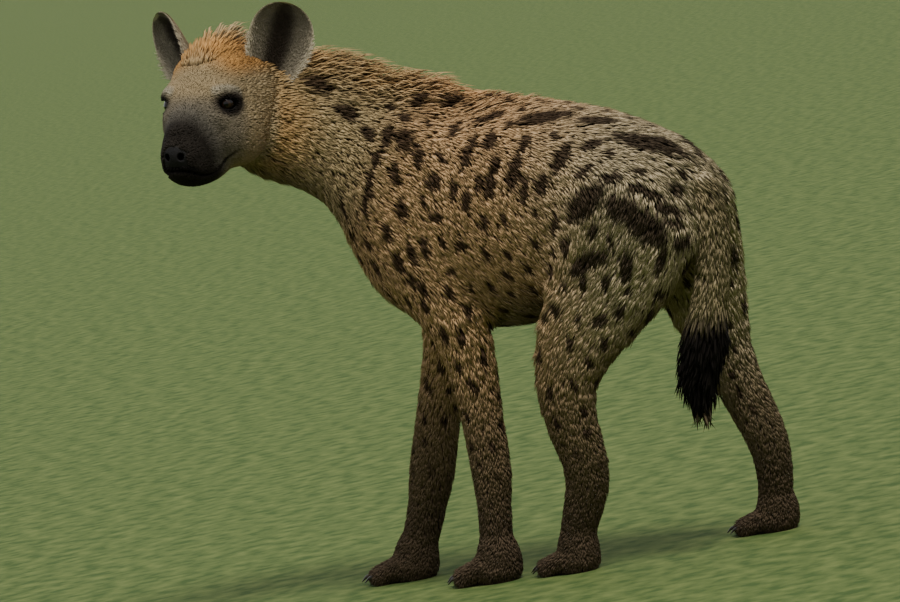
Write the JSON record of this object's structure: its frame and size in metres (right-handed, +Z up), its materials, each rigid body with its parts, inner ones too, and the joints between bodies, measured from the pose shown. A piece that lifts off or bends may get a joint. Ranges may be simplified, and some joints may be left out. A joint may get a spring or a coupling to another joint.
{
  "type": "spotted hyena figure",
  "caption": "Life-size still spotted hyena standing in mid-step and looking back over its left shoulder, for a museum-style display.",
  "frame": {"origin": "on the floor under the middle of the animal's bounding box", "axes": "+Z up; -Y the way the body points; +X towards the animal's left, where the muzzle points"},
  "size_m": [0.5048, 0.9252, 0.9561],
  "materials": {
    "coat": "matt fur",
    "eye": "glossy",
    "claw": "satin horn"
  },
  "bodies": {
    "root": {"claw_front_left_1": "claw", "claw_front_left_2": "claw", "claw_front_left_3": "claw", "claw_front_left_4": "claw", "claw_front_right_1": "claw", "claw_front_right_2": "claw", "claw_front_right_3": "claw", "claw_front_right_4": "claw", "claw_hind_left_1": "claw", "claw_hind_left_2": "claw", "claw_hind_left_3": "claw", "claw_hind_left_4": "claw", "claw_hind_right_1": "claw", "claw_hind_right_2": "claw", "claw_hind_right_3": "claw", "claw_hind_right_4": "claw", "ear_left": "coat", "ear_right": "coat", "eye_left": "eye", "eye_right": "eye", "head": "coat", "leg_front_left": "coat", "leg_front_right": "coat", "leg_hind_left": "coat", "leg_hind_right": "coat", "neck": "coat", "paw_front_left": "coat", "paw_front_right": "coat", "paw_hind_left": "coat", "paw_hind_right": "coat", "tail": "coat", "torso": "coat"}
  },
  "joints": []
}
